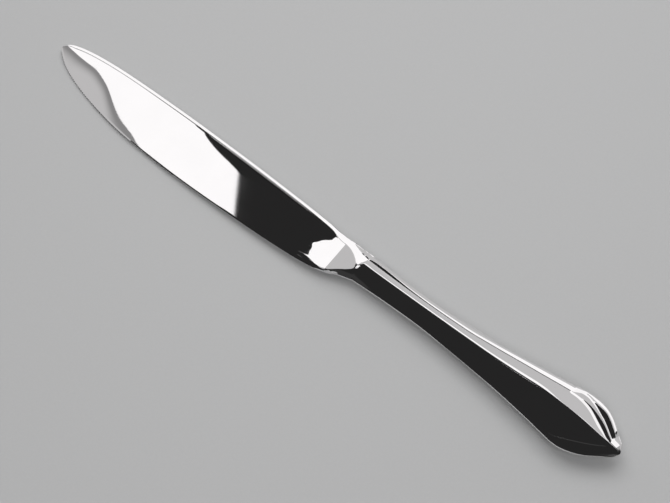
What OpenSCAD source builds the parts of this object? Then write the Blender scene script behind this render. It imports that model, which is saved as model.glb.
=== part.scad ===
// Table knife with a hollow handle.
// A forged blade ends in a bolster and a tang. Two pressed half shells meet in the plane
// of the blade, are brazed along their seam and filled with cement that holds the tang.
// X runs from the point of the blade to the end of the handle, Y from edge to spine.

/* [Overall] */
// Whole length, from the point of the blade to the end of the handle
knife_len = 235; // [200:1:260]
// Length of the handle, from the joint behind the bolster to its end
handle_len = 97.5; // [88:0.5:110]

/* [Blade] */
// Depth of the cutting edge below the handle's axis, at its belly
belly_drop = 12.4; // [10:0.1:15]
// Height of the spine above the handle's axis, at its highest
spine_rise = 7.6; // [6:0.1:9]
// Height of the point above the handle's axis
point_rise = 1.2; // [0:0.1:2]
// Thickness of the blade at the heel, beside the spine
heel_t = 2.4; // [2:0.1:3]
// Thickness that the flanks lose between the spine and the cutting edge
grind_t = 1.3; // [0.8:0.1:1.4]
// Thickness that the flanks lose between the heel and the point
taper_t = 0.4; // [0.2:0.1:0.6]
// Width of the bevel beside the cutting edge
edge_bevel_w = 0.7; // [0.4:0.1:1]
// Thickness of the cutting edge itself
edge_land = 0.2; // [0.1:0.05:0.3]
// Width of the sloping band beside the spine
spine_band_w = 1.2; // [0.8:0.1:1.6]
// Height that the flank loses across that band
spine_band_drop = 0.35; // [0.2:0.05:0.5]

/* [Bolster] */
// Length of the bolster, from the end of the flank to the handle's joint
bolster_len = 9.5; // [8:0.5:12]
// Width of the bolster and of the handle's neck where they meet
neck_w = 10.8; // [9.5:0.1:12]
// Thickness over the crests where the bolster meets the handle
bolster_t = 5.6; // [5:0.1:6]

/* [Handle] */
// Greatest width of the handle, near its end
handle_w = 19.9; // [17:0.1:23]
// Greatest thickness of the handle, ridge to ridge
handle_t = 10; // [9:0.1:12]
// Slope of the facets beside the ridges, in degrees
facet_slope = 23; // [20:0.5:24]
// Roundness of the rim outside the creases, higher is squarer
rim_power = 1.6; // [1.4:0.1:2]
// Wall of the pressed half shells
wall_t = 0.5; // [0.4:0.05:0.6]
// Thickness of the brazed seam between the half shells
braze_t = 0.2; // [0.1:0.05:0.3]

/* [Tang] */
// Length of the tang inside the handle
tang_len = 62; // [40:1:70]
// Width of the tang
tang_w = 3; // [2.5:0.1:3.2]
// Thickness of the tang
tang_t = 2; // [1.6:0.1:2.2]

/* [Fits] */
// Gap between the tang and the cement
tang_gap = 0.1; // [0.05:0.05:0.15]
// Gap between the cement and the shells
core_gap = 0.05; // [0.05:0.01:0.1]
// Gap between the bolster and the front of the handle
joint_gap = 0.05; // [0.05:0.05:0.1]

/* [Hidden] */

blade_len = knife_len - handle_len;
blade_depth = belly_drop + spine_rise;
half_w = handle_w / 2;
half_t = handle_t / 2;
// The frame's origin is under the middle of the whole knife
axis_y = (belly_drop - half_w) / 2;
point_x = -knife_len / 2;
joint_x = point_x + blade_len;

// How finely the curves are cut into stations and rings
blade_steps = 44;
bolster_steps = 12;
handle_steps = 56;
rim_steps = 5;
// Runs past a face that a cut goes through
overrun = 1;

// Outlines of the blade: square root of the share of the blade's length from the point,
// and the height there as a share of belly_drop below the axis or spine_rise above it
first_share = 0.03;
edge_shares = [[0, 0.097], [0.097, -0.028], [0.157, -0.145], [0.27, -0.394], [0.41, -0.685],
    [0.533, -0.898], [0.634, -0.976], [0.715, -1], [0.815, -0.966], [0.904, -0.894],
    [0.955, -0.775], [0.979, -0.575], [1, -neck_w / 2 / belly_drop]];
spine_shares = [[0, 0.158], [0.047, 0.288], [0.104, 0.48], [0.164, 0.616], [0.3, 0.836],
    [0.435, 0.96], [0.6, 1], [0.74, 0.973], [0.84, 0.89], [0.922, 0.767], [0.961, 0.655],
    [0.98, 0.68], [1, neck_w / 2 / spine_rise]];
// Widest part of the bevel and of the spine band as a share of the blade's local depth
narrow_share = 0.2;
// Where the tables put the point, as shares of their own heights
edge_point_share = edge_shares[0][1];
spine_point_share = spine_shares[0][1];

// Handle: share of its length from the joint, and half its width as a share of half_w
width_shares = [[0, neck_w / handle_w], [0.077, 0.513], [0.18, 0.487], [0.282, 0.492], [0.385, 0.543],
    [0.477, 0.603], [0.569, 0.678], [0.662, 0.779], [0.723, 0.854], [0.785, 0.945],
    [0.826, 0.997], [0.867, 0.96], [0.918, 0.76], [0.966, 0.4], [1, 0.02]];
// Height of the ridge over the seam as a share of half_t
ridge_shares = [[0, bolster_t / handle_t], [0.04, 0.53], [0.18, 0.5], [0.3, 0.5], [0.4, 0.51], [0.49, 0.55],
    [0.588, 0.69], [0.684, 0.89], [0.744, 0.98], [0.78, 1], [0.81, 0.98], [0.85, 0.87],
    [0.89, 0.69], [0.93, 0.47], [0.96, 0.34], [1, 0.12]];
// Place of the crease across the handle as a share of half its width there
crease_shares = [[0, 0.48], [0.4, 0.48], [0.48, 0.56], [0.58, 0.61], [0.68, 0.6],
    [0.785, 0.62], [0.82, 0.57], [0.85, 0.5], [0.89, 0.35], [0.925, 0.2], [0.95, 0.02],
    [1, 0.02]];
// Height of the crease never falls below this share of the ridge's
low_crease_share = 0.3;
// The crease stays inside this share of the half width
far_crease_share = 0.75;
// How soon the bolster swells, lower is sooner
swell_power = 0.8;
// How evenly the handle's stations are spread, the rest crowds toward its end
even_share = 0.5;

// Smooth curve through a table of points whose first numbers rise
function step_of(p, x, i = 0) = i >= len(p) - 2 || x <= p[i + 1][0] ? i : step_of(p, x, i + 1);
function lean(p, a, b) = (p[b][1] - p[a][1]) / (p[b][0] - p[a][0]);
function lean_at(p, i) = lean(p, max(i - 1, 0), min(i + 1, len(p) - 1));
function smooth(p, x) =
    let (i = step_of(p, x))
    let (h = p[i + 1][0] - p[i][0])
    let (t = (x - p[i][0]) / h)
    let (rise = (3 - 2 * t) * t * t)
    p[i][1] * (1 - rise) + p[i + 1][1] * rise
    + h * t * (1 - t) * ((1 - t) * lean_at(p, i) - t * lean_at(p, i + 1));
function mix(a, b, t) = a + (b - a) * t;

// Heights of the cutting edge and the spine over the handle's axis at one station
function edge_y(s) = let (v = smooth(edge_shares, s))
    v * belly_drop + (point_rise - edge_point_share * belly_drop) * (1 - s);
function spine_y(s) = let (v = smooth(spine_shares, s))
    v * spine_rise + (point_rise - spine_point_share * spine_rise) * (1 - s);
function station_x(s) = blade_len * (s * s - first_share * first_share)
    / (1 - first_share * first_share);

// Half thickness of the flat flank, one plane on each side of the blade
function flank_z(x, y) = heel_t / 2 - grind_t / 2 * (spine_rise - y) / blade_depth
    - taper_t / 2 * (1 - x / blade_len);

// A closed ring from its upper points, listed from the spine to the edge and mirrored below
function closed(x, top) = let (n = len(top))
    concat([for (q = top) [x, q[0], q[1]]], [for (i = [n - 2:-1:1]) [x, top[i][0], -top[i][1]]]);

// Upper points of the blade: spine wall, sloping band, flank, bevel and cutting edge.
// The flank has enough of them to match the points of a handle section.
function blade_top(x, e, b) =
    let (bevel = min(edge_bevel_w, (b - e) * narrow_share))
    let (band = min(spine_band_w, (b - e) * narrow_share))
    let (high = b - band, low = e + bevel, n = rim_steps * 2 - 2)
    let (fall = spine_band_drop * band / spine_band_w)
    concat([[b, 0], [b, flank_z(x, b) - fall]],
        [for (i = [0:n]) let (y = mix(high, low, i / n)) [y, flank_z(x, y)]],
        [[e, edge_land / 2], [e, 0]]);

// Half a handle section, from the seam on the spine side over the ridge to the other seam
function crease_z(t, c) = max(t - tan(facet_slope) * c, t * low_crease_share);
function rim_half(w, t, c) = let (z = crease_z(t, c))
    [for (i = [0:rim_steps]) let (r = 1 - i / rim_steps)
        [c + (w - c) * r, z * (1 - pow(r, rim_power))]];
function over_half(w, t, c) = let (half = rim_half(w, t, c))
    concat(half, [[0, t]], [for (i = [rim_steps:-1:0]) [-half[i][0], half[i][1]]]);

// Sizes of the handle at a share u of its length, drawn in by inset on every side:
// half its width, half its thickness and the place of its crease
function wide_at(u, inset) = max(half_w * smooth(width_shares, u) - inset, wall_t / 2);
function thick_at(u, inset) = max(half_t * smooth(ridge_shares, u) - inset, wall_t / 2);
function crease_at(u, inset) = min(half_w * smooth(width_shares, u) * smooth(crease_shares, u),
    wide_at(u, inset) * far_crease_share);
function section(u, inset) =
    closed(u * handle_len, over_half(wide_at(u, inset), thick_at(u, inset), crease_at(u, inset)));

// The upper half of that section, standing on the brazed seam
function upper_section(u) = let (t = thick_at(u, 0), rise = 1 - braze_t / 2 / t)
    [for (q = over_half(wide_at(u, 0), t, crease_at(u, 0)))
        [u * handle_len, q[0], braze_t / 2 + q[1] * rise]];

// Stations from one length of the handle to another, crowding together toward its end
function crowd(t) = mix(sin(90 * t), t, even_share);
function stations(from, to) =
    [for (i = [0:handle_steps]) mix(from, to, crowd(i / handle_steps)) / handle_len];

// A closed skin over a row of rings with equal numbers of points
module loft(rings) {
    n = len(rings[0]);
    m = len(rings);
    side = [for (i = [0:m - 2]) for (j = [0:n - 1]) let (k = (j + 1) % n)
        each [[i * n + j, (i + 1) * n + k, i * n + k], [i * n + j, (i + 1) * n + j, (i + 1) * n + k]]];
    front = [[for (j = [0:n - 1]) j]];
    back = [[for (j = [n - 1:-1:0]) (m - 1) * n + j]];
    polyhedron(points = [for (r = rings) each r], faces = concat(front, side, back));
}

// The form of the handle, drawn in by inset, from one length to another
module handle_form(inset, from, to) {
    loft([for (u = stations(from, to)) section(u, inset)]);
}

module place() {
    translate([point_x, axis_y, half_t]) children();
}

module place_handle() {
    translate([joint_x, axis_y, half_t]) children();
}

// Ring round the blade at a share s. Along the bolster its points swell from the flat
// flank into the section of the handle.
function blade_ring(s) =
    let (x = station_x(s), e = edge_y(s), b = spine_y(s), mid = (b + e) / 2, w = (b - e) / 2)
    let (along = max(x - blade_len + bolster_len, 0) / bolster_len)
    let (plate = blade_top(x, e, b), c = w * crease_shares[0][1])
    let (swollen = over_half(w, bolster_t / 2, c))
    closed(x, [for (i = [0:len(plate) - 1])
        mix(plate[i], [mid, 0] + swollen[i], pow(along, swell_power))]);

// Stations of the blade: dense at the point, and evenly spaced along the bolster
function blade_stations() = let (last = sqrt(1 - bolster_len / blade_len))
    concat([for (i = [0:blade_steps]) mix(first_share, last, i / blade_steps)],
        [for (i = [1:bolster_steps]) mix(last, 1, i / bolster_steps)]);

// Blade plate, bolster and tang, forged in one piece
module blade() {
    color("silver") {
        place() loft([for (s = blade_stations()) blade_ring(s)]);
        place_handle() tang();
    }
}

module tang() {
    root = bolster_len / 2;
    translate([-root, -tang_w / 2, -tang_t / 2]) cube([tang_len + root, tang_w, tang_t]);
}

// Outer skin less the hollow, above the seam
module half_shell() {
    place_handle() difference() {
        loft([for (u = stations(joint_gap, handle_len)) upper_section(u)]);
        handle_form(wall_t, -overrun, handle_len - wall_t * 2);
    }
}

module handle_shell_upper() {
    color("gainsboro") half_shell();
}

module handle_shell_lower() {
    color("gainsboro") translate([0, 0, half_t * 2]) mirror([0, 0, 1]) half_shell();
}

// Outline of the handle in the plane of its seam, drawn in by inset
module seam_outline(inset, from, to) {
    row = stations(from, to);
    polygon(concat([for (u = row) [u * handle_len, wide_at(u, inset)]],
        [for (i = [len(row) - 1:-1:0]) [row[i] * handle_len, -wide_at(row[i], inset)]]));
}

// Thin strip of braze along both edges of the handle and round its end
module seam_braze() {
    color("lightgray") place_handle() translate([0, 0, -braze_t / 2]) linear_extrude(braze_t)
        difference() {
            seam_outline(0, joint_gap, handle_len);
            seam_outline(wall_t, -overrun, handle_len - wall_t * 2);
        }
}

// Cement that fills the hollow and holds the tang
module cement_core() {
    color("tan") place_handle() difference() {
        handle_form(wall_t + core_gap, joint_gap, handle_len - wall_t * 3);
        translate([-overrun, -tang_w / 2 - tang_gap, -tang_t / 2 - tang_gap])
            cube([tang_len + tang_gap + overrun, tang_w + tang_gap * 2, tang_t + tang_gap * 2]);
    }
}

blade();
handle_shell_upper();
handle_shell_lower();
seam_braze();
cement_core();
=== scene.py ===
"""Table knife: polished hollow-handled knife resting on a pale table under soft studio light."""
import math
import bmesh
import bpy
from mathutils import Matrix, Vector


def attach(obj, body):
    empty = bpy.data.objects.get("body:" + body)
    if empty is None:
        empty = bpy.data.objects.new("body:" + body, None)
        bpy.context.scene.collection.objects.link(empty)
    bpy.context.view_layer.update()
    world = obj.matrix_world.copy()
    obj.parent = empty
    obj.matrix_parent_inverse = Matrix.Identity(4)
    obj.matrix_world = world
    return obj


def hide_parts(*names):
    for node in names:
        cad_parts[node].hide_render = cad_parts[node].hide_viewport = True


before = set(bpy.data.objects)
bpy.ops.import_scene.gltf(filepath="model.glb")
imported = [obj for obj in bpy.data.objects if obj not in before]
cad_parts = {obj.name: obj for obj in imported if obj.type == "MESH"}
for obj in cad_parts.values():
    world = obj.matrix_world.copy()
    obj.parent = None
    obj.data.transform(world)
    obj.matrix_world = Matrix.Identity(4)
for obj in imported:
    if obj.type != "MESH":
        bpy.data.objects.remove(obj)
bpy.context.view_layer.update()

# Sizes in millimetres, the same as in the part's source. a runs along the knife from the point, y is up
# towards the spine from the handle's axis, and z is up from the seam. The calls of ease hold such places
# too, or on the handle t, the share of its length from the bolster.
KNIFE_LEN = 235.0
HANDLE_LEN = 97.5
BLADE_LEN = KNIFE_LEN - HANDLE_LEN
BELLY_DROP = 12.4
SPINE_RISE = 7.6
BLADE_DEPTH = BELLY_DROP + SPINE_RISE
POINT_RISE = 1.2
HEEL_T = 2.4
GRIND_T = 1.3
TAPER_T = 0.4
NECK_W = 10.8
HALF_W = 9.95
HALF_T = 5.0
BRAZE_T = 0.2
WALL_T = 0.5
TANG = (62.0, 3.0, 2.0)
AXIS_Y = (BELLY_DROP - HALF_W) / 2
JOINT_GAP = 0.02
FACET = math.tan(math.radians(23))

# The blade's outline: by the root of the share of its length, the share of the belly's drop and of the
# spine's rise.
EDGE = ((0, 0.097), (0.097, -0.028), (0.157, -0.145), (0.27, -0.394), (0.41, -0.685), (0.533, -0.898),
        (0.634, -0.976), (0.715, -1), (0.815, -0.966), (0.904, -0.894), (0.955, -0.775), (0.979, -0.575),
        (1, -NECK_W / 2 / BELLY_DROP))
SPINE = ((0, 0.158), (0.047, 0.288), (0.104, 0.48), (0.164, 0.616), (0.3, 0.836), (0.435, 0.96),
         (0.6, 1), (0.74, 0.973), (0.84, 0.89), (0.922, 0.767), (0.961, 0.655), (0.98, 0.68),
         (1, NECK_W / 2 / SPINE_RISE))

# The handle by t: shares of the full half width and half thickness, then the crease and the butt's first
# bright line as shares of the half width there.
WIDTH = ((0, NECK_W / 2 / HALF_W), (0.077, 0.513), (0.18, 0.487), (0.282, 0.492), (0.385, 0.543),
         (0.477, 0.603), (0.569, 0.678), (0.662, 0.779), (0.723, 0.854), (0.785, 0.945), (0.826, 0.997),
         (0.867, 0.96), (0.918, 0.76), (0.966, 0.41), (0.985, 0.27), (0.995, 0.14), (1, 0.02))
RIDGE = ((0, 0.56), (0.04, 0.53), (0.18, 0.5), (0.3, 0.5), (0.4, 0.51), (0.49, 0.55), (0.588, 0.69),
         (0.684, 0.89), (0.744, 0.98), (0.78, 1), (0.81, 0.98), (0.85, 0.87), (0.89, 0.69),
         (0.93, 0.475), (0.95, 0.4), (0.965, 0.34), (0.98, 0.25), (0.992, 0.13), (1, 0.03))
CREASE = ((0, 0.48), (0.4, 0.48), (0.48, 0.56), (0.58, 0.61), (0.68, 0.6), (0.785, 0.62), (0.82, 0.57),
          (0.85, 0.5), (0.89, 0.35), (0.925, 0.2), (0.95, 0.05), (1, 0.02))
PETAL = ((0, 0.63), (0.4, 0.63), (0.5, 0.68), (0.6, 0.7), (0.7, 0.69), (0.777, 0.66), (0.787, 0.76),
         (0.797, 0.85), (0.805, 0.87), (0.82, 0.845), (0.84, 0.78), (0.87, 0.68), (0.91, 0.55),
         (0.94, 0.42), (0.965, 0.25), (1, 0.12))


def smooth(table, x):
    """A smooth curve through the table's points, with the mean slope of its neighbours at each."""
    x = min(max(x, table[0][0]), table[-1][0])
    i = 0
    while i < len(table) - 2 and x > table[i + 1][0]:
        i += 1
    lean = []
    for k in (i, i + 1):
        low, high = max(k - 1, 0), min(k + 1, len(table) - 1)
        lean.append((table[high][1] - table[low][1]) / (table[high][0] - table[low][0]))
    h = table[i + 1][0] - table[i][0]
    t = (x - table[i][0]) / h
    rise = (3 - 2 * t) * t * t
    bend = h * t * (1 - t) * ((1 - t) * lean[0] - t * lean[1])
    return table[i][1] * (1 - rise) + table[i + 1][1] * rise + bend


def line(table, x):
    """Straight lines through the table's points."""
    x = min(max(x, table[0][0]), table[-1][0])
    i = 0
    while i < len(table) - 2 and x > table[i + 1][0]:
        i += 1
    (x0, y0), (x1, y1) = table[i], table[i + 1]
    return y0 + (y1 - y0) * (x - x0) / (x1 - x0)


def ease(low, high, x):
    """0 at low, 1 at high and a soft step between; with low above high the step runs down."""
    t = min(max((x - low) / (high - low), 0.0), 1.0)
    return t * t * (3 - 2 * t)


def mix(p, q, t):
    """From p at t 0 to q at t 1."""
    return p + (q - p) * t


def place(a, y, z):
    """Knife millimetres to the frame's metres."""
    return Vector(((a - KNIFE_LEN / 2) / 1000, (y + AXIS_Y) / 1000, (z + HALF_T) / 1000))


# Blade and bolster

# The polished flat ends in a rounded zone towards the point and the cutting edge: its border as (a, y),
# the place where it ends, the factor from a height to the distance square to the border, the slope that
# it reaches and the millimetres that it takes to turn down.
TIP_BORDER = ((0, 2.9), (6.7, 2.35), (12, 1.85), (16.7, 1.35), (20, 0.45), (23.7, -0.9), (26.8, -2.5),
              (30.5, -4.65), (34.4, -6.7), (38, -8.1), (44.9, -9.5), (49.2, -10.8), (56, -12.3))
TIP_END = 60
TIP_SQUARE = 0.8
TIP_STEEP = 0.075
TIP_SOFT = 2.4

# The flank twists a little at the point, by a slope from a place in y, and bends down towards the spine
# over the rear half, by a curve from a place in y.
TWIST = 0.009
TWIST_Y = 2.4
BACK_FALL = 0.0055
BACK_FALL_Y = 1.7

# Width of the narrow facet along the cutting edge, by a.
BEVEL_WIDTH = ((0, 0.5), (20, 0.5), (35, 0.45), (50, 0.24), (58, 0.3), (85, 0.3), (90, 0.45), (118, 0.5),
               (127, 0.7), (129, 0.6), (131, 0.22), (BLADE_LEN, 0.2))

# The bolster's front crease, and where the rise to it starts as (y, a). The rise and the fan's slope
# behind the crease grow by CREASE_LEAN for each millimetre towards the spine from LEAN_Y.
FRONT_CREASE = 127.8
SWELL_START = ((-7.9, 116.4), (-6.4, 117.2), (-4.3, 117.6), (-2.6, 117.1), (-0.9, 117.5), (0.2, 118.2),
               (1, 119.2), (1.7, 120.4), (2.8, 121.9), (4, 122.8))
SWELL_H = 0.51
CREASE_LEAN = 0.005
LEAN_Y = -3

# The fan-shaped hollow: slope and bend along the knife, and its fall towards the edge below FAN_FALL_Y,
# which is full after FAN_LEN and grows by FAN_POWER.
FAN_SLOPE = 0.168
FAN_BEND = 0.0005
FAN_LEN = 8.8
FAN_FALL = 0.058
FAN_FALL_Y = -2.2
FAN_POWER = 2.6

# The small rise behind the fan: start, length and slope.
HUMP_START = 136.4
HUMP_LEN = 0.9
HUMP_SLOPE = 0.15

# Lines on the bolster, as (a, y): the band's crease that runs on as the fan's far border, the outer
# border of the bright band, and the near facet's border. Then the bright band's slope towards the spine
# by a, and the near side's height by the distance from its outline.
CREST_Y = ((FRONT_CREASE, 2.5), (130.2, 1.85), (132.4, 0.85), (134.2, -0.3), (135.2, -1.1), (136.2, -1.5),
           (136.9, -0.8), (BLADE_LEN, 0))
BAND_Y = ((129, 5.2), (130.4, 4.3), (131.8, 3.8), (134, 3.1), (BLADE_LEN, 2.6))
FACET_Y = ((113, -10.1), (117.5, -8.3), (120, -8.0), (122, -8.15), (124, -8.5), (126.2, -8.4),
           (FRONT_CREASE, -7.9), (129, -7.6), (130, -7.2), (131, -6.8), (133, -6.4), (BLADE_LEN, -5.1))
BAND_SLOPE = ((FRONT_CREASE, 0.25), (130.8, 0.25), (132.4, 0.275), (134.2, 0.27), (135.2, 0.25),
              (136.3, 0.245), (BLADE_LEN, 0.42))
NEAR_FORM = ((0.2, 0.4), (0.6, 1.0), (1, 1.5), (1.5, 2.0), (2.1, 2.43), (2.7, 2.72), (3.3, 2.79),
             (NECK_W / 2, 2.8))

# Across the section: the back's width, its slope, the slope of its outer roll, the flank's roll to the
# crease (width, curve and drop), the raised lip's width and the slope up to it, the least height of the
# back, and the least distance between two lines. Where there are two values, the first is the one nearer
# the point. Each line is also kept to a share of the section's width, so that they close up at the point.
BACK_W = 1.38
BACK_SLOPE = (0.15, 0.27)
OUTER_SLOPE = 0.52
ROLL_W = 0.36
ROLL_CURVE = 0.3
ROLL_DROP = 0.13
LIP_W = (0.26, 0.2)
LIP_SLOPE = 0.11
LEAST_H = 0.06
LEAST_GAP = 0.01

# How many points a section has across the far wall, the bright band, the flank and the near wall, the steps
# of the search for the fan's cut, and how close to a crease the next point stands.
FAR_WALL_POINTS = 6
BAND_POINTS = 7
FLANK_POINTS = 34
NEAR_WALL_POINTS = 9
ARCH_STEPS = 160
CLOSE = 0.05


def edge_y(a):
    """The cutting edge, and under the bolster the near outline."""
    s = math.sqrt(max(a, 0.0) / BLADE_LEN)
    return smooth(EDGE, s) * BELLY_DROP + (POINT_RISE - EDGE[0][1] * BELLY_DROP) * (1 - min(s, 1))


def spine_y(a):
    """The spine, and beside the bolster the far outline."""
    s = math.sqrt(max(a, 0.0) / BLADE_LEN)
    return smooth(SPINE, s) * SPINE_RISE + (POINT_RISE - SPINE[0][1] * SPINE_RISE) * (1 - min(s, 1))


def flank_z(a, y):
    """Height of the plain flank, thinner towards the edge and the point."""
    return HEEL_T / 2 - GRIND_T / 2 * (SPINE_RISE - y) / BLADE_DEPTH - TAPER_T / 2 * (1 - a / BLADE_LEN)


def tip_drop(a, y):
    """How far the flank falls away beyond the border of the rounded zone near the point."""
    if a > TIP_END:
        return 0.0
    d = (smooth(TIP_BORDER, a) - y) * TIP_SQUARE
    if d <= 0:
        return 0.0
    steep = TIP_STEEP * ease(64, 20, a)
    return steep * (d - TIP_SOFT * (1 - math.exp(-d / TIP_SOFT)))


def swell(a, y):
    """The hollow rise from the flat flank to the bolster's front crease, flat at its start."""
    start = smooth(SWELL_START, y)
    d = min((a - start) / (FRONT_CREASE - start), 1)
    if d <= 0:
        return 0.0
    return (SWELL_H + CREASE_LEAN * (y - LEAN_Y)) * (1.55 * d * d - 0.55 * d ** 3)


def fan_top(a, y):
    """Height of the fan-shaped hollow cut into the bolster behind the front crease."""
    d = a - FRONT_CREASE
    low = max(FAN_FALL_Y - y, 0)
    rise = (FAN_SLOPE + CREASE_LEAN * (y - LEAN_Y)) * d + FAN_BEND * d * d
    fall = FAN_FALL * (d / FAN_LEN) ** FAN_POWER * low * low
    return flank_z(FRONT_CREASE, y) + swell(FRONT_CREASE, y) + rise - fall


def hump(a, y):
    """The small rise between the fan's end and the handle."""
    high = HUMP_SLOPE * min(max(a - HUMP_START, 0), HUMP_LEN)
    return high * ease(-1.0, -1.6, y) * ease(-4.0, -3.2, y) * ease(141, 137.6, a)


def near_top(a, y):
    """Height of the bolster's near side, a narrow facet that widens to the handle's full side."""
    full = smooth(NEAR_FORM, y - edge_y(a)) + hump(a, y)
    if a > 135:
        return full
    border = smooth(FACET_Y, a)
    edge = edge_y(a)
    facet = fan_top(a, border) * (y - edge) / (border - edge)
    return mix(min(facet, full), full, ease(132, 135, a))


def blade_top(a, y):
    """Height of the polished top: flank and swell, then the fan cut into the near side."""
    if a > FRONT_CREASE:
        return min(fan_top(a, y), near_top(a, y))
    z = flank_z(a, y) - tip_drop(a, y) - TWIST * (y - TWIST_Y) * ease(16, 6, a)
    z -= BACK_FALL * max(y - BACK_FALL_Y, 0) ** 2 * ease(53, 76, a) * ease(118, 105, a)
    return z + swell(a, y)


def spread(low, high, count, near):
    """Places from low to high with one close to each end, so that the sheen turns only at the crease."""
    gap = abs(high - low)
    most = 0.2
    share = min(most, near / gap) if gap > 1e-9 else most
    steps = [0, share]
    steps += [share + (1 - 2 * share) * k / (count - 3) for k in range(1, count - 3)]
    steps += [1 - share, 1]
    return [mix(low, high, k) for k in steps]


def wall(y_in, y_out, top, count, power):
    """A rounded wall from the seam at y_out up towards its top at y_in; a higher power is squarer."""
    points = []
    for k in range(count):
        angle = math.pi / 2 * k / count
        y = mix(y_in, y_out, math.cos(angle) ** (2 / power))
        points.append((y, top * math.sin(angle) ** (2 / power)))
    return points


def arch_borders(a, crest, low):
    """Where the fan's cut starts and ends across the bolster at a station."""
    steps = [mix(crest, low, k / ARCH_STEPS) for k in range(ARCH_STEPS + 1)]
    over = [fan_top(a, y) - near_top(a, y) for y in steps]
    inside = [k for k, gap in enumerate(over) if gap < 0]
    if not inside:
        lowest = steps[over.index(min(over))]
        return lowest, lowest
    first, last = inside[0], inside[-1]
    upper, lower = steps[first], steps[last]
    if first > 0:
        upper = mix(steps[first - 1], upper, over[first - 1] / (over[first - 1] - over[first]))
    if last < ARCH_STEPS:
        lower = mix(lower, steps[last + 1], over[last] / (over[last] - over[last + 1]))
    return upper, lower


def crest_y(a, spine, wide):
    """The crease between the flank and the back, which behind the front crease is the fan's far border."""
    crest = spine - min(BACK_W + 0.15 * ease(108, 122, a), 0.2 * wide)
    if a > 120:
        crest = mix(crest, smooth(CREST_Y, a), ease(120, FRONT_CREASE, a))
    return crest


def flank_borders(a, crest, brink, wide):
    """Where the flank's even part, or the fan, starts below the crease and ends above the near facet."""
    if a > FRONT_CREASE:
        upper, lower = arch_borders(a, crest, brink + LEAST_GAP)
        if a < 134:
            upper = crest - 0.2
    else:
        upper, lower = crest - ROLL_W, brink + 0.02 * wide
        if a > 113:
            lower = max(mix(lower, smooth(FACET_Y, a), ease(113, 118, a)), brink + LEAST_GAP)
    upper = min(upper, crest - LEAST_GAP)
    return upper, min(lower, upper - LEAST_GAP)


def back_points(a, spine, wide, lip, lip_z):
    """The back from the seam at the spine to the raised lip: wall, roll, groove and bright band."""
    shoulder = spine - min(mix(0.14, 0.4, ease(124, 134, a)), 0.12 * wide)
    rim = shoulder
    slope = mix(*BACK_SLOPE, ease(3, 18, a))
    if a > FRONT_CREASE:
        rim = min(rim, smooth(BAND_Y, a))
        slope = smooth(BAND_SLOPE, a)
    elif a > 115:
        slope = mix(slope, BAND_SLOPE[0][1], ease(115, FRONT_CREASE, a))
    groove = 0.4 * ease(133, 134.2, a)
    rim_z = max(lip_z - slope * (rim - lip), LEAST_H)
    groove_z = rim_z + 0.03 * groove
    far_top = max(rim_z - OUTER_SLOPE * (shoulder - rim - min(groove, shoulder - rim)), LEAST_H)
    points = wall(shoulder, spine, far_top, FAR_WALL_POINTS, mix(5, 2.4, ease(126, 134, a)))
    for k in range(4):
        points.append((mix(shoulder, min(rim + groove, shoulder), k / 3), mix(far_top, rim_z, k / 3)))
    points.append((rim + 0.9 * groove, groove_z))
    points.append((rim + 0.1 * groove, groove_z))
    for y in spread(rim, lip, BAND_POINTS, CLOSE):
        points.append((y, mix(rim_z, lip_z, (rim - y) / max(rim - lip, 0.001))))
    return points


def near_points(a, edge, brink, lower, lower_z):
    """The near facet, which keeps the flank's plane at its foot, and the wall down to the seam."""
    foot = flank_z(a, brink) - tip_drop(a, brink) - 0.06 * ease(112, 118, a)
    fall = 1 + ease(112, 118, a)
    points = []
    for k in range(1, 6):
        y = mix(lower, brink, k / 5)
        z = blade_top(a, y) if a > FRONT_CREASE else mix(foot, lower_z, (1 - k / 5) ** fall)
        points.append((y, z))
    last_z = points[-1][1]
    land = mix(last_z - 0.3 * (brink - edge), 0.14, ease(45, 60, a)) * ease(131, 124, a)
    near = wall(brink, edge, last_z, NEAR_WALL_POINTS, mix(1.0, 2.6, ease(130, 131.5, a)))
    points += [(y, land + z * (last_z - land) / max(last_z, 0.001)) for y, z in reversed(near[1:])]
    points.append((edge, land))
    return points


def blade_half(a):
    """Upper half of a blade section, from the seam at the spine over the top to the seam at the edge."""
    spine, edge = spine_y(a), edge_y(a)
    wide = spine - edge
    crest = crest_y(a, spine, wide)
    brink = edge + min(smooth(BEVEL_WIDTH, a), 0.2 * wide)
    upper, lower = flank_borders(a, crest, brink, wide)

    # the flank rolls off to the crease, and a narrow raised lip runs along it,
    # with a dark line beside the fan
    roll = ROLL_CURVE * ease(56, 68, a) * ease(126, 122, a)
    crest_h = blade_top(a, crest) - roll * ROLL_DROP
    lip_w = min(mix(*LIP_W, ease(120, FRONT_CREASE, a)), 0.03 * wide)
    lip_z = crest_h + LIP_SLOPE * lip_w
    dip = 0.07 * ease(126.5, 128.5, a) * ease(136.2, 135, a)
    points = back_points(a, spine, wide, crest + lip_w, lip_z)
    points.append((crest + 0.9 * lip_w, mix(crest_h, lip_z, 0.85)))
    points.append((crest + 0.1 * lip_w, mix(crest_h, lip_z, 0.05) - dip))
    for k in range(5):
        y = mix(crest, upper, k / 5)
        rolled = roll * max(y - crest + ROLL_W, 0) ** 2
        points.append((y, blade_top(a, y) - rolled - (dip if k == 0 else 0)))
    for y in spread(upper, lower, FLANK_POINTS, CLOSE):
        points.append((y, blade_top(a, y)))
    return points + near_points(a, edge, brink, lower, points[-1][1])


# Handle

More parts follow.
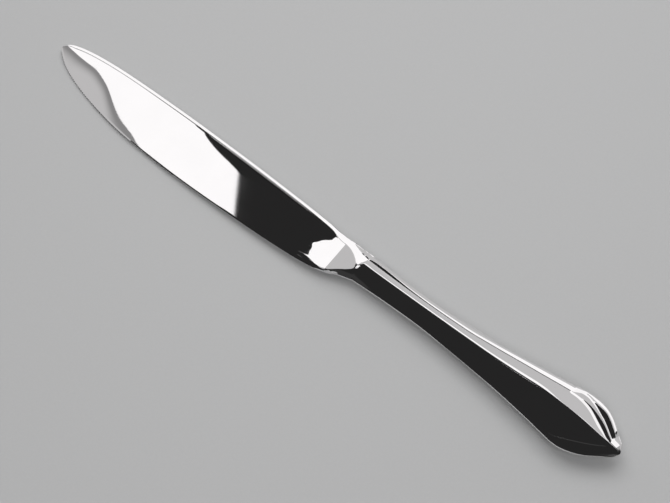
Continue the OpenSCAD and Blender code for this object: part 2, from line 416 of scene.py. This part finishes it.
# By t, in millimetres: the ridge's rounding, the groove behind the crease and the bright lip beyond it.
ROUNDING = ((0, 0.5), (0.2, 0.65), (0.5, 1.05), (0.66, 1.5), (0.71, 1.3), (0.75, 0.7), (0.79, 0.2),
            (1, 0.12))
GROOVE = ((0, 0.45), (0.03, 0.8), (0.1, 0.7), (0.16, 0.42), (0.25, 0.24), (0.75, 0.2), (1, 0.16))
LIP = ((0, 0.02), (0.08, 0.06), (0.16, 0.25), (0.25, 0.45), (0.35, 0.62), (0.46, 0.8), (0.69, 1.3),
       (0.8, 1.6), (1, 1.6))

# Sharp turns between two slopes: the width of one, and half the width of a finer one.
TURN_W = 0.03
HALF_TURN = 0.02

# The near side has a narrower rounding towards the butt, no groove there and fainter petals: factors, and
# the least slope. A step (distance from the first bright line, slope for each share of petal) shows as
# one thin line.
NEAR_ROUNDING = 0.3
NEAR_PETAL = 0.35
NEAR_LEAST = 0.32
NEAR_STEP = ((-0.1, 0), (-0.06, 5), (0.06, 5), (0.1, 0))

# The near side's low wall: its height, and the point from which the rim falls further down to it.
NEAR_WALL_H = 0.6
BROW_POINT = 12

# Beside the bolster the near side bulges as far as BULGE_END, and its outer BULGE_EDGE is rounded by a
# power.
BULGE_END = 147
BULGE_EDGE = 0.2
BULGE_POWER = 2.6

# How many points the wall has, and the share of the ridge's height that the slopes fall at most.
WALL_POINTS = 10
MOST_FALL = 0.84


def handle_share(a):
    """t, the share of the handle's length at a station."""
    return min(max((a - BLADE_LEN) / HANDLE_LEN, 0), 1)


def petal_slopes(t, crease, groove, lip_end, outer, second):
    """Slopes at the butt: two bright lines fork off the crease, with a hollow behind each further on."""
    first_end = mix(crease + 0.2, second, 0.68 * ease(0.795, 0.93, t))
    second_end = mix(second, outer, 0.2 + 0.38 * ease(0.84, 0.9, t))
    hollow, hollow2 = ease(0.805, 0.83, t), ease(0.835, 0.855, t)
    opening = ease(0.795, 0.82, t)
    line_in = mix(second_end, outer, 0.3)
    line_out = mix(lip_end, mix(second_end, outer, 0.8), ease(0.772, 0.802, t))
    line_out = min(max(line_out, mix(line_in, outer, 0.4)), mix(line_in, outer, 0.85))
    hollow_y = min(crease + max(groove, 0.2), first_end - 0.06)
    return [
        (crease, 0.22),
        (hollow_y - 0.04, mix(0.45, 0.2, hollow)),
        (hollow_y, mix(0.45, -0.04, hollow)),
        (first_end - HALF_TURN, mix(0.5, -0.1, hollow)),
        (first_end + HALF_TURN, 0.52),
        (mix(first_end, second, 0.6), 0.5),
        (second, 0.2),
        (mix(second, second_end, 0.2), mix(0.28, mix(0.45, -0.04, hollow2), opening)),
        (second_end - HALF_TURN, mix(0.28, mix(0.47, -0.12, hollow2), opening)),
        (second_end + HALF_TURN, mix(0.28, 0.5, opening)),
        (line_in - HALF_TURN, mix(0.28, 0.45, opening)),
        (line_in + HALF_TURN, 0.24),
        (line_out, 0.28),
        (mix(line_out, outer, 0.2), 0.5),
        (outer, 0.6),
    ]


def handle_slopes(a, side=1):
    """Points out from the ridge with the slope down at each, the wall's width and the half width."""
    t = handle_share(a)
    w = HALF_W * smooth(WIDTH, t)
    crease = min(w * smooth(CREASE, t), 0.8 * w)
    end = min(0.4, 0.25 * w)
    outer = w - end
    beyond = outer - crease
    second = max(w * smooth(PETAL, t), crease + 0.1 * beyond)
    second = min(second, crease + 0.82 * beyond)
    cap = ease(0.968, 0.95, t)
    petal = ease(0.766, 0.776, t) * cap
    round_r = min(smooth(ROUNDING, t), 0.5 * crease)
    if side < 0:
        petal = NEAR_PETAL * ease(0.77, 0.85, t) * cap
        round_r *= mix(1, NEAR_ROUNDING, ease(0.3, 0.5, t))

    # the facet from the ridge to the crease, then a groove, a flatter bright lip
    # and a steeper roll to the wall
    ease_in = min(mix(0.05, 0.8, petal), 0.34 * (crease - round_r))
    knots = [(0, 0), (round_r, FACET), (crease - ease_in, FACET)]
    knots.append((crease - 0.7 * ease_in, mix(FACET, 0.3, petal)))
    groove = min(smooth(GROOVE, t), 0.36 * beyond)
    lip_start = crease + groove + TURN_W
    lip_end = lip_start + min(smooth(LIP, t), 0.7 * (beyond - groove - 2 * TURN_W))
    plain = [(crease, 0.02), (crease + 0.5 * groove, -0.03), (crease + groove, 0.0), (lip_start, 0.26)]
    plain += [(lip_end, 0.3), (lip_end + TURN_W, 0.52), (mix(lip_end, outer, 0.5), 0.6), (outer, 0.85)]
    petals = petal_slopes(t, crease, groove, lip_end, outer, second)
    for y in sorted([y for y, m in plain] + [y for y, m in petals]):
        knots.append((y, mix(line(plain, y), line(petals, y), petal)))
    if side < 0:
        least = NEAR_LEAST * ease(0.42, 0.56, t)
        knots = knots[:1] + [(y, max(m, least)) for y, m in knots[1:]]
        step = [(second + d, line(knots, second + d) + rise * petal) for d, rise in NEAR_STEP]
        knots = sorted(knots + step)
    return knots, end, w


def handle_side(a, side):
    """One side of the upper half section out from the ridge: (distance, height) points down to the seam."""
    knots, end, w = handle_slopes(a, side)
    top = HALF_T * smooth(RIDGE, handle_share(a))
    points = [(0.0, top)]
    z = top
    total = sum((m0 + m1) / 2 * (y1 - y0) for (y0, m0), (y1, m1) in zip(knots, knots[1:]))
    squeeze = min(1.0, MOST_FALL * top / max(total, 0.001))
    for i, ((y0, m0), (y1, m1)) in enumerate(zip(knots, knots[1:])):
        count = 5 if i < 2 else 2
        for k in range(1, count + 1):
            u = k / count
            h = (y1 - y0) * u
            points.append((y0 + h, z - squeeze * (m0 * h + (m1 - m0) * u * h / 2)))
        z = points[-1][1]
    if side < 0 and z > NEAR_WALL_H:
        # the near rim falls further, to a low wall
        brow, brow_z = points[BROW_POINT]
        share = (brow_z - NEAR_WALL_H) / max(brow_z - z, 0.01)
        points = [(y, brow_z - (brow_z - h) * share if y > brow else h) for y, h in points]
        z = NEAR_WALL_H
    lean = squeeze * knots[-1][1]
    for k in range(1, WALL_POINTS + 1):
        angle = math.pi / 2 * k / WALL_POINTS
        out = math.sin(angle)
        h = z * math.cos(angle) - lean * end * (out - out * out) * math.cos(angle)
        points.append((w - end + end * out, h))
    if side < 0 and a < BULGE_END:
        points = bulge_near_side(a, w, top, points)
    return points


def bulge_near_side(a, w, top, points):
    """The near side's points drawn out to the bolster's rounder form towards the blade."""
    full = ease(BULGE_END, BLADE_LEN, a)
    bulged = []
    for y, h in points:
        q = w - y
        form = line(NEAR_FORM, q * NECK_W / 2 / w) * top / NEAR_FORM[-1][1]
        if q < BULGE_EDGE:
            form *= (1 - (1 - max(q / BULGE_EDGE, 0)) ** BULGE_POWER) ** (1 / BULGE_POWER)
        bulged.append((y, mix(h, form + hump(a, -y), full)))
    return bulged


def handle_half(a):
    """Upper half of a handle section from the far seam over the ridge to the near seam."""
    far = handle_side(a, 1)[::-1]
    near = [(-y, z) for y, z in handle_side(a, -1)[1:]]
    return far + near


# Meshes

# Rows of sections along the knife, as (from, to, step).
BLADE_ROWS = ((12, 60, 0.5), (60, 112, 0.65), (112, 126, 0.3), (126, 127.7, 0.17), (127.7, 127.9, 0.05),
              (127.9, 135.4, 0.2), (135.4, BLADE_LEN, 0.06))
SHELL_ROWS = ((BLADE_LEN + JOINT_GAP, 142, 0.2), (142, 198, 0.7), (198, 228, 0.25), (228, 234, 0.15),
              (234, KNIFE_LEN, 0.1))
BRAZE_ROWS = ((BLADE_LEN + JOINT_GAP, 198, 1.0), (198, 233, 0.4), (233, 234.8, 0.2))
EDGE_ROWS = ((1.2, 10, 0.5), (10, 66, 1.0))

# The first rows crowd towards the point: root of the length's share at the first, its step, and the last
# place.
POINT_START = 0.012
POINT_STEP = 0.004
POINT_END = 11.7

# The blade's last sections take the handle's form from here, and the front crease slants by this for each
# millimetre below SLANT_Y.
KNOB_START = 136.9
SLANT = 0.09
SLANT_Y = 2.6
SLANT_FADE = 30


def skin(rings):
    """The points of equal rings, and the faces that join each ring to the next."""
    count = len(rings[0])
    points = [p for ring in rings for p in ring]
    faces = []
    for i in range(len(rings) - 1):
        for k in range(count):
            n = (k + 1) % count
            faces.append((i * count + k, i * count + n, (i + 1) * count + n, (i + 1) * count + k))
    return points, faces


def loft(name, rings):
    """A closed mesh over equal rings of points, with a fan of faces at each end."""
    count = len(rings[0])
    points, faces = skin(rings)
    for base, order in ((0, -1), ((len(rings) - 1) * count, 1)):
        centre = sum((points[base + k] for k in range(count)), Vector()) / count
        points.append(centre)
        for k in range(count):
            pair = (base + k, base + (k + 1) % count)
            faces.append((*pair[::order], len(points) - 1))
    return finish_mesh(name, points, faces)


def finish_mesh(name, points, faces):
    """A piece from points and faces: doubles merged, faces outwards, smooth but for sharp creases."""
    mesh = bpy.data.meshes.new(name)
    mesh.from_pydata([tuple(p) for p in points], [], faces)
    mesh.validate()
    bm = bmesh.new()
    bm.from_mesh(mesh)
    bmesh.ops.remove_doubles(bm, verts=bm.verts, dist=2e-7)
    bmesh.ops.dissolve_degenerate(bm, edges=bm.edges, dist=1e-7)
    bmesh.ops.recalc_face_normals(bm, faces=bm.faces)
    bm.to_mesh(mesh)
    bm.free()
    for poly in mesh.polygons:
        poly.use_smooth = True
    mesh.set_sharp_from_angle(angle=math.radians(32))
    return link_piece(name, mesh)


def link_piece(name, data):
    """A new object in the scene, at the origin."""
    piece = bpy.data.objects.new(name, data)
    bpy.context.scene.collection.objects.link(piece)
    return piece


def stations(spans):
    """Places along the knife: (from, to, step) spans joined up."""
    places = []
    for low, high, step in spans:
        count = max(1, round((high - low) / step))
        places += [low + (high - low) * k / count for k in range(count)]
    return places + [spans[-1][1]]


def height_at(section, y):
    """Height of a section, given as points from the far seam to the near seam, at a place across it."""
    best = 0.0
    for (y0, z0), (y1, z1) in zip(section, section[1:]):
        if y1 <= y <= y0 and y0 > y1:
            best = max(best, z1 + (z0 - z1) * (y - y1) / (y0 - y1))
    return best


def blade_piece():
    """The blade with its bolster as one forging."""
    rows = []
    s = POINT_START
    while BLADE_LEN * s * s < POINT_END:
        rows.append(BLADE_LEN * s * s)
        s = POINT_START + POINT_STEP * len(rows)
    rows += stations(BLADE_ROWS)
    target = handle_half(BLADE_LEN)
    rings = []
    for a in rows:
        half = blade_half(a)
        if a > KNOB_START:
            knob = ease(KNOB_START, BLADE_LEN, a)
            half = [(y, mix(z, height_at(target, y), knob)) for y, z in half]
        # the front crease slants back towards the near side
        bump = ease(119, 127, a) * ease(134, 129, a)
        edge = half[-1][0]
        slanted = []
        for y, z in half:
            back = max(min(SLANT_Y - y, SLANT_FADE * (y - edge)), 0)
            slanted.append((a + bump * SLANT * back, y, z))
        ring = [place(*p) for p in slanted]
        ring += [place(b, y, -z) for b, y, z in reversed(slanted)]
        rings.append(ring)
    return loft("blade_body", rings)


def tang_piece():
    """The flat tang inside the handle, with rounded corners and notches that grip the filler."""
    length, wide, thick = TANG
    tang_end = BLADE_LEN + length
    root, corner_points, squareness = 4, 24, 0.25
    rings = []
    for a in stations(((BLADE_LEN - root, tang_end - 1, 1.0), (tang_end - 1, tang_end, 0.25))):
        wave = math.sin((a - BLADE_LEN) * 0.55)
        notch = 0.25 * ease(0.35, 0.9, wave) * ease(BLADE_LEN + 6, BLADE_LEN + 10, a)
        tip = 1 - 0.3 * ease(tang_end - 1, tang_end, a)
        half_w, half_t = (wide / 2 - notch) * tip, thick / 2 * tip
        ring = []
        for k in range(corner_points):
            angle = 2 * math.pi * k / corner_points
            c, s = math.cos(angle), math.sin(angle)
            y = half_w * math.copysign(abs(c) ** squareness, c)
            z = half_t * math.copysign(abs(s) ** squareness, s)
            ring.append(place(a, y, z))
        rings.append(ring)
    return loft("tang_bar", rings)


def shell_piece(name, side):
    """Half of the pressed handle shell: outer form, inner wall, and the flat lips that meet at the seam."""
    rings = []
    low = BRAZE_T / 2
    for a in stations(SHELL_ROWS):
        half = handle_half(a)
        w = half[0][0]
        top = max(z for y, z in half)
        lift = 1 - low / max(top, 2 * low)
        outer = [(y, low + z * lift) for y, z in half]
        shrink_w, shrink_t = max(1 - WALL_T / w, 0.3), max(1 - WALL_T / top, 0.3)
        inner = [(y * shrink_w, low + z * lift * shrink_t) for y, z in reversed(half)][::2]
        inner[0] = (-w * shrink_w, low)
        inner[-1] = (w * shrink_w, low)
        rings.append([place(a, y, side * z) for y, z in outer + inner])
    points, faces = skin(rings)

    # the two ends of the wall: each inner edge with the two outer edges across from it
    count = len(rings[0])
    for base in (0, (len(rings) - 1) * count):
        for k in range(len(inner) - 1):
            first, last = 2 * k, min(2 * k + 2, len(outer) - 1)
            across = [base + count - 2 - k, base + count - 1 - k]
            faces.append([base + j for j in range(first, last + 1)] + across)
    return finish_mesh(name, points, faces)


def braze_piece():
    """The brazed line that shows as a hair along the seam, all round the handle."""
    half_h = BRAZE_T / 2
    far = [(a, handle_slopes(a)[2]) for a in stations(BRAZE_ROWS)]
    rings = []
    for a, y in far + [(a, -w) for a, w in reversed(far)]:
        inset = math.copysign(min(WALL_T, 0.6 * abs(y)), y)
        proud = math.copysign(0.015, y)
        ring = [place(a, y - proud, half_h), place(a, y, 0), place(a, y - proud, -half_h)]
        ring += [place(a, y - inset, -half_h), place(a, y - inset, half_h)]
        rings.append(ring)
    return loft("seam_line", rings)


# Edge teeth: a row of tiny scallops along the front of the cutting edge, made by Geometry Nodes.

# A tooth's half length, height, half thickness and depth of its root in millimetres, the pitch in metres,
# and how far inside the cutting edge the row stands in millimetres.
TOOTH_HALF_LEN = 0.46
TOOTH_H = 0.2
TOOTH_T = 0.085
TOOTH_ROOT = 0.25
TOOTH_PITCH = 0.00098
EDGE_INSET = 0.17


def tooth_shape():
    """One tooth of the fine serration: a low wedge with a rounded crest."""
    points, faces = [], []
    ring_size = 6
    slices = (-1, -0.6, 0, 0.6, 1)
    for x in slices:
        h = TOOTH_H * (1 - abs(x) ** 1.6)
        half = ((-TOOTH_ROOT, TOOTH_T), (h * 0.6, TOOTH_T * 0.7), (h, 0.02))
        for y, z in half + tuple((y, -z) for y, z in reversed(half)):
            points.append(Vector((x * TOOTH_HALF_LEN, y, z)) / 1000)
    for i in range(len(slices) - 1):
        for k in range(ring_size):
            n = (k + 1) % ring_size
            base, ahead = i * ring_size, (i + 1) * ring_size
            faces.append((base + k, ahead + k, ahead + n, base + n))
    faces.append(tuple(range(ring_size)))
    faces.append(tuple(range(ring_size * (len(slices) - 1), ring_size * len(slices))))
    return finish_mesh("edge_tooth", points, faces)


def teeth_tree(steel):
    """The node tree that sets a tooth at every pitch along a path."""
    tree = bpy.data.node_groups.new("set_teeth_on_edge", "GeometryNodeTree")
    tree.interface.new_socket("Edge path", in_out="INPUT", socket_type="NodeSocketGeometry")
    pitch = tree.interface.new_socket("Tooth pitch", in_out="INPUT", socket_type="NodeSocketFloat")
    shape = tree.interface.new_socket("Tooth", in_out="INPUT", socket_type="NodeSocketObject")
    tree.interface.new_socket("Teeth", in_out="OUTPUT", socket_type="NodeSocketGeometry")
    given, made = tree.nodes.new("NodeGroupInput"), tree.nodes.new("NodeGroupOutput")
    curve = tree.nodes.new("GeometryNodeMeshToCurve")
    marks = tree.nodes.new("GeometryNodeResampleCurve")
    marks.mode = "LENGTH"
    turn = tree.nodes.new("FunctionNodeAlignEulerToVector")
    turn.axis = "X"
    turn.pivot_axis = "Z"
    along = tree.nodes.new("GeometryNodeInputTangent")
    info = tree.nodes.new("GeometryNodeObjectInfo")
    put = tree.nodes.new("GeometryNodeInstanceOnPoints")
    real = tree.nodes.new("GeometryNodeRealizeInstances")
    coat = tree.nodes.new("GeometryNodeSetMaterial")
    coat.inputs["Material"].default_value = steel
    join = tree.links.new
    join(given.outputs["Edge path"], curve.inputs["Mesh"])
    join(curve.outputs["Curve"], marks.inputs["Curve"])
    join(given.outputs["Tooth pitch"], marks.inputs["Length"])
    join(marks.outputs["Curve"], put.inputs["Points"])
    join(along.outputs["Tangent"], turn.inputs["Vector"])
    join(turn.outputs["Rotation"], put.inputs["Rotation"])
    join(given.outputs["Tooth"], info.inputs["Object"])
    join(info.outputs["Geometry"], put.inputs["Instance"])
    join(put.outputs["Instances"], real.inputs["Geometry"])
    join(real.outputs["Geometry"], coat.inputs["Geometry"])
    join(coat.outputs["Geometry"], made.inputs["Teeth"])
    return tree, pitch.identifier, shape.identifier


def edge_teeth(steel):
    """Teeth set along the cutting edge from the point back to the middle of the belly."""
    path = [place(a, edge_y(a) + EDGE_INSET, 0) for a in stations(EDGE_ROWS)]
    curve_mesh = bpy.data.meshes.new("edge_path")
    curve_mesh.from_pydata([tuple(p) for p in path], [(k, k + 1) for k in range(len(path) - 1)], [])
    host = link_piece("edge_path", curve_mesh)
    tooth = tooth_shape()
    tree, pitch, shape = teeth_tree(steel)
    setter = host.modifiers.new("teeth", "NODES")
    setter.node_group = tree
    setter[pitch] = TOOTH_PITCH
    setter[shape] = tooth
    bpy.context.view_layer.update()
    shown = host.evaluated_get(bpy.context.evaluated_depsgraph_get())
    mesh = bpy.data.meshes.new_from_object(shown)
    host.modifiers.clear()
    teeth = link_piece("edge_serration", mesh)
    for spare in (host, tooth):
        bpy.data.objects.remove(spare)
    return teeth


# Materials

TABLE_TONE = (0.405, 0.406, 0.408)


def new_material(name):
    """A node material with its nodes, links, shader and Object coordinates."""
    material = bpy.data.materials.new(name)
    material.use_nodes = True
    nodes = material.node_tree.nodes
    where = nodes.new("ShaderNodeTexCoord").outputs["Object"]
    return material, nodes, material.node_tree.links, nodes["Principled BSDF"], where


def add_noise(nodes, links, where, scale, detail):
    """A noise pattern on the given coordinates."""
    noise = nodes.new("ShaderNodeTexNoise")
    noise.inputs["Scale"].default_value = scale
    noise.inputs["Detail"].default_value = detail
    links.new(where, noise.inputs["Vector"])
    return noise.outputs["Fac"]


def add_shade(nodes, links, pattern, shader, dark, pale, ends=(0, 1)):
    """The base colour from dark to pale by a pattern."""
    shade = nodes.new("ShaderNodeValToRGB")
    for element, tone, position in zip(shade.color_ramp.elements, (dark, pale), ends):
        element.position = position
        element.color = (*tone, 1)
    links.new(pattern, shade.inputs["Fac"])
    links.new(shade.outputs["Color"], shader.inputs["Base Color"])


def add_bump(nodes, links, pattern, shader, strength, distance):
    """Fine relief by a pattern."""
    bump = nodes.new("ShaderNodeBump")
    bump.inputs["Strength"].default_value = strength
    bump.inputs["Distance"].default_value = distance
    links.new(pattern, bump.inputs["Height"])
    links.new(bump.outputs["Normal"], shader.inputs["Normal"])


def polished_steel(name, tone, rough, brush, strength):
    """Polished stainless steel: a mirror with faint polishing lines along it and small changes of haze."""
    steel, nodes, links, shader, where = new_material(name)
    shader.inputs["Metallic"].default_value = 1.0
    stretch = nodes.new("ShaderNodeMapping")
    stretch.inputs["Scale"].default_value = brush
    links.new(where, stretch.inputs["Vector"])
    lines = add_noise(nodes, links, stretch.outputs["Vector"], 1.0, 4.0)
    haze = add_noise(nodes, links, where, 90.0, 3.0)
    blend = nodes.new("ShaderNodeMix")
    blend.inputs["Factor"].default_value = 0.5
    links.new(lines, blend.inputs["A"])
    links.new(haze, blend.inputs["B"])
    span = nodes.new("ShaderNodeMapRange")
    span.inputs["From Min"].default_value = 0.35
    span.inputs["From Max"].default_value = 0.7
    span.inputs["To Min"].default_value = rough[0]
    span.inputs["To Max"].default_value = rough[1]
    links.new(blend.outputs["Result"], span.inputs["Value"])
    links.new(span.outputs["Result"], shader.inputs["Roughness"])
    add_shade(nodes, links, haze, shader, [v * 0.975 for v in tone], tone, (0.3, 0.7))
    add_bump(nodes, links, lines, shader, strength, 0.00002)
    return steel


def set_filler(name):
    """Hard cement filler, unseen inside the handle: a matt grainy grey."""
    filler, nodes, links, shader, where = new_material(name)
    shader.inputs["Roughness"].default_value = 0.9
    grain = add_noise(nodes, links, where, 900.0, 6.0)
    add_shade(nodes, links, grain, shader, (0.3, 0.28, 0.26), (0.55, 0.53, 0.5))
    add_bump(nodes, links, grain, shader, 0.4, 0.0001)
    return filler


def table_top(name):
    """Smooth pale grey table: nearly even, with a very fine grain."""
    top, nodes, links, shader, where = new_material(name)
    shader.inputs["Roughness"].default_value = 0.75
    shader.inputs["Specular IOR Level"].default_value = 0.15
    grain = add_noise(nodes, links, where, 1600.0, 2.0)
    dark, pale = [v * 0.97 for v in TABLE_TONE], [v * 1.03 for v in TABLE_TONE]
    add_shade(nodes, links, grain, shader, dark, pale)
    return top


# Table, camera and light

# The knife rests on the table on its handle's belly and the edge near the point: the table's up in the
# knife's frame.
UP = Vector((0.01999177, 0.07117812, 1.0)).normalized()
AHEAD = (Vector((1, 0, 0)) - UP * UP.x).normalized()
ASIDE = UP.cross(AHEAD)
TABLE_RISE = 1.99184
TABLE_HALF = 1600

# How the knife lies in the picture, and the camera: angle above the table and distance.
TURN = -0.74602012
SHIFT = (-6.38288, 3.47338)
CAMERA_UP = math.radians(53)
CAMERA_FAR = 574.78


def from_photo(x, y, z, is_point=True):
    """A place or direction, given right, away and up in the picture, in the knife's frame (metres)."""
    if is_point:
        x, y = x - SHIFT[0], y - SHIFT[1]
        z = z + TABLE_RISE
    c, s = math.cos(TURN), math.sin(TURN)
    v = AHEAD * (x * c + y * s) + ASIDE * (-x * s + y * c) + UP * z
    return v / 1000 if is_point else v


def aim(azimuth, elevation):
    """Direction by azimuth, clockwise from straight away in the picture, and elevation, in degrees."""
    a, e = math.radians(azimuth), math.radians(elevation)
    return from_photo(math.sin(a) * math.cos(e), math.cos(a) * math.cos(e), math.sin(e), False)


def set_camera():
    """The photograph's camera, looking at the middle of the picture from in front and above."""
    eye = bpy.data.cameras.new("studio_camera")
    eye.lens = 100
    eye.sensor_width = 36
    eye.clip_start = 0.01
    eye.clip_end = 20
    camera = link_piece("studio_camera", eye)
    ce, se = math.cos(CAMERA_UP), math.sin(CAMERA_UP)
    right = from_photo(1, 0, 0, False)
    upward = from_photo(0, se, ce, False)
    back = from_photo(0, -ce, se, False)
    spot = from_photo(0, -ce * CAMERA_FAR, se * CAMERA_FAR)
    turn = Matrix((right, upward, back)).transposed().to_4x4()
    camera.matrix_world = Matrix.Translation(spot) @ turn
    bpy.context.scene.camera = camera


def lay_table(material):
    """The table's top, a flat sheet that goes on past the picture."""
    size = TABLE_HALF
    corners = [from_photo(x * size, y * size, 0) for x, y in ((-1, -1), (1, -1), (1, 1), (-1, 1))]
    mesh = bpy.data.meshes.new("table_top")
    mesh.from_pydata([tuple(c) for c in corners], [], [(0, 1, 2, 3)])
    table = link_piece("table_top", mesh)
    mesh.materials.append(material)


def hang_lamp(name, over, azimuth, elevation, distance, size, power):
    """A soft square lamp aimed at a place on the table, unseen in the steel."""
    lamp = bpy.data.lights.new(name, "AREA")
    lamp.shape = "SQUARE"
    lamp.size = size
    lamp.energy = power
    holder = link_piece(name, lamp)
    way = aim(azimuth, elevation)
    holder.location = from_photo(*over, 0) + way * distance
    holder.rotation_mode = "QUATERNION"
    holder.rotation_quaternion = way.to_track_quat("Z", "Y")
    holder.visible_glossy = False
    holder.visible_camera = False


# The studio as the polished steel sees it: (label, azimuth from, to, elevation from, to, softness in
# azimuth, in elevation, brightness, lean of the top edge), later over earlier. The first row is the level
# everywhere else.
STUDIO = (
    ("room behind the camera", -180, 180, -10, 90, 6, 6, 0.02, 0),
    ("wall at the right", 72, 78, -20, 48, 3, 8, 0.42, 0),
    ("wall behind the camera", 150, 180, -20, 40, 8, 8, 0.08, 0),
    ("wall behind the camera, left", -180, -150, -20, 40, 8, 8, 0.05, 0),
    ("lit corner behind the camera", -158, -112, 0, 20, 5, 4, 0.038, 0),
    ("table's far side and backdrop", -60, 74, -20, 24.5, 1, 0.4, 0.56, 0),
    ("backdrop's higher end", 20, 74, -20, 27.5, 1, 0.6, 0.56, 0),
    ("grey wall at the left", -68, -20, 21, 55, 1, 1, 0.55, 0),
    ("shade beside the softbox", -28.2, -20, 49, 54.3, 2.8, 0.5, 0.26, 0),
    ("low softbox", -24.05, 21.5, 24.5, 44, 0.12, 0.4, 1.1, 0),
    ("low softbox, raised end", 21, 31, 27.5, 44, 0.5, 0.4, 1.1, 0),
    ("high softbox", -24.05, -7, 42, 35.55, 0.12, 0.08, 1.1, -1.02),
    ("softbox at the right", 30, 72, 27.5, 52, 0.5, 0.5, 1.05, 0),
)
BACKDROP_TONE = 0.5
LIGHT_TINT = (1.0, 0.985, 0.99)


def light_studio():
    """World light by direction, a pale backdrop for the camera, and the lamps over the table."""
    world = bpy.data.worlds.new("studio")
    bpy.context.scene.world = world
    world.use_nodes = True
    nodes, links = world.node_tree.nodes, world.node_tree.links
    where = nodes.new("ShaderNodeTexCoord")

    def part_along(axis):
        """How far the direction runs along an axis of the picture."""
        dot = nodes.new("ShaderNodeVectorMath")
        dot.operation = "DOT_PRODUCT"
        dot.inputs[1].default_value = from_photo(*axis, False)
        links.new(where.outputs["Generated"], dot.inputs[0])
        return dot.outputs["Value"]

    def reckon(operation, *values):
        """The result of a sum on sockets or plain numbers."""
        node = nodes.new("ShaderNodeMath")
        node.operation = operation
        for socket, value in zip(node.inputs, values):
            if isinstance(value, float):
                socket.default_value = value
            else:
                links.new(value, socket)
        return node.outputs["Value"]

    def step(value, low, high):
        """0 at low, 1 at high, soft between."""
        node = nodes.new("ShaderNodeMapRange")
        node.interpolation_type = "SMOOTHSTEP"
        links.new(value, node.inputs["Value"])
        node.inputs["From Min"].default_value = low
        node.inputs["From Max"].default_value = high
        return node.outputs["Result"]

    azimuth = reckon("DEGREES", reckon("ARCTAN2", part_along((1, 0, 0)), part_along((0, 1, 0))))
    elevation = reckon("DEGREES", reckon("ARCSINE", part_along((0, 0, 1))))
    level = None
    for label, az0, az1, el0, el1, soft, soft_el, bright, lean in STUDIO[1:]:
        height = elevation
        if lean:
            height = reckon("SUBTRACT", elevation, reckon("MULTIPLY", azimuth, lean))
        cover = reckon("MULTIPLY", step(elevation, el0 - soft_el, el0 + soft_el),
                       step(height, el1 + soft_el, el1 - soft_el))
        if az0 > -180:
            cover = reckon("MULTIPLY", cover, step(azimuth, az0 - soft, az0 + soft))
        if az1 < 180:
            cover = reckon("MULTIPLY", cover, step(azimuth, az1 + soft, az1 - soft))
        over = nodes.new("ShaderNodeMix")
        over.label = label
        links.new(cover, over.inputs["Factor"])
        if level is None:
            over.inputs["A"].default_value = STUDIO[0][7]
        else:
            links.new(level, over.inputs["A"])
        over.inputs["B"].default_value = bright
        level = over.outputs["Result"]
    rays = nodes.new("ShaderNodeLightPath")
    seen = nodes.new("ShaderNodeMix")
    links.new(rays.outputs["Is Camera Ray"], seen.inputs["Factor"])
    links.new(level, seen.inputs["A"])
    seen.inputs["B"].default_value = BACKDROP_TONE
    tint = nodes.new("ShaderNodeVectorMath")
    tint.operation = "SCALE"
    tint.inputs[0].default_value = LIGHT_TINT
    links.new(seen.outputs["Result"], tint.inputs["Scale"])
    links.new(tint.outputs["Vector"], nodes["Background"].inputs["Color"])
    hang_lamp("overhead_lamp", over=(40, 250), azimuth=0, elevation=90, distance=0.5, size=0.7, power=3.0)
    hang_lamp("front_fill", over=(0, 0), azimuth=180, elevation=50, distance=1.4, size=0.6, power=9.0)


def dress(piece, material, slot, *nodes_replaced):
    """Give a piece its material and body, and hide the CAD nodes that it stands for; slot is not used."""
    piece.data.materials.clear()
    piece.data.materials.append(material)
    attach(piece, "root")
    if nodes_replaced:
        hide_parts(*nodes_replaced)


set_camera()
light_studio()
lay_table(table_top("table_grey"))
blade_steel = polished_steel("blade_steel_polished", tone=(0.9, 0.895, 0.895), rough=(0.012, 0.024),
                             brush=(60, 5200, 2000), strength=0.012)
handle_steel = polished_steel("handle_steel_polished", tone=(0.9, 0.895, 0.898), rough=(0.015, 0.03),
                              brush=(80, 3600, 2600), strength=0.01)
braze_metal = polished_steel("braze_line", tone=(0.62, 0.6, 0.56), rough=(0.2, 0.34),
                             brush=(300, 3000, 3000), strength=0.2)
filler = set_filler("cement_filler")

dress(blade_piece(), blade_steel, "blade_steel", "blade")
dress(tang_piece(), blade_steel, "blade_steel")
dress(edge_teeth(blade_steel), blade_steel, "blade_steel")
dress(shell_piece("shell_upper", 1), handle_steel, "handle_steel", "handle_shell_upper")
dress(shell_piece("shell_lower", -1), handle_steel, "handle_steel", "handle_shell_lower")
dress(braze_piece(), braze_metal, "braze", "seam_braze")
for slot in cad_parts["cement_core"].material_slots:
    slot.material = filler

bpy.context.scene.view_settings.view_transform = "Standard"
